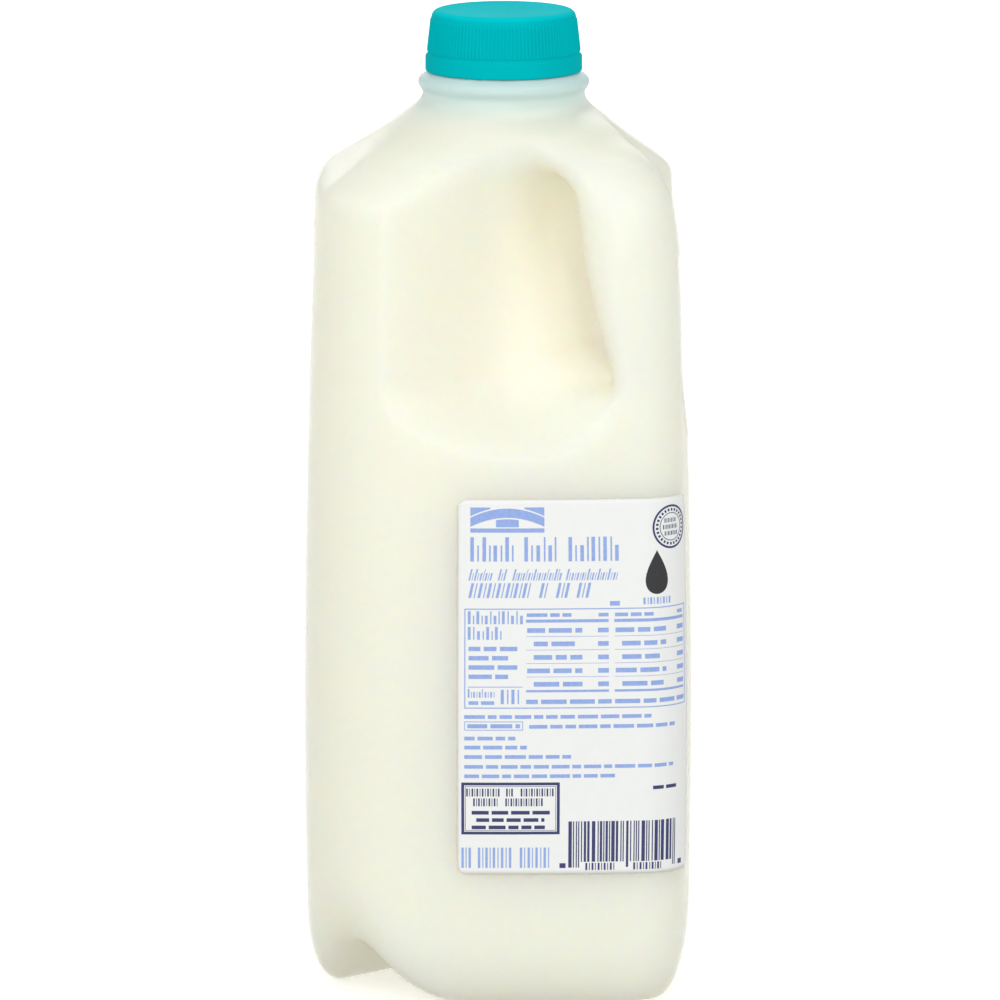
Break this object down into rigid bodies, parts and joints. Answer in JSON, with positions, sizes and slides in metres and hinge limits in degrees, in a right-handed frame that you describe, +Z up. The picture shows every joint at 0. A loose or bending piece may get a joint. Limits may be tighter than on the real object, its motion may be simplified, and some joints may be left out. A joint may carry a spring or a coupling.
{
  "type": "milk jug",
  "caption": "Filled square-sided milk jug in translucent plastic with a hollow corner handle, arched base, ribbed screw cap and a wrap label.",
  "frame": {"origin": "centre of the base, on the floor the jug stands on", "axes": "+Z up; +X towards the handle corner; the finger gap runs along Y and the mould parts on the XZ plane"},
  "size_m": [0.1298, 0.121, 0.2571],
  "materials": {
    "bottle_plastic": "natural translucent blow-moulded polyethylene, satin",
    "milk": "opaque creamy white liquid",
    "cap_plastic": "satin teal polypropylene",
    "label_film": "white printed pressure-sensitive film"
  },
  "bodies": {
    "root": {"bottle": "bottle_plastic", "milk": "milk", "cap": "cap_plastic", "label": "label_film"}
  },
  "joints": []
}
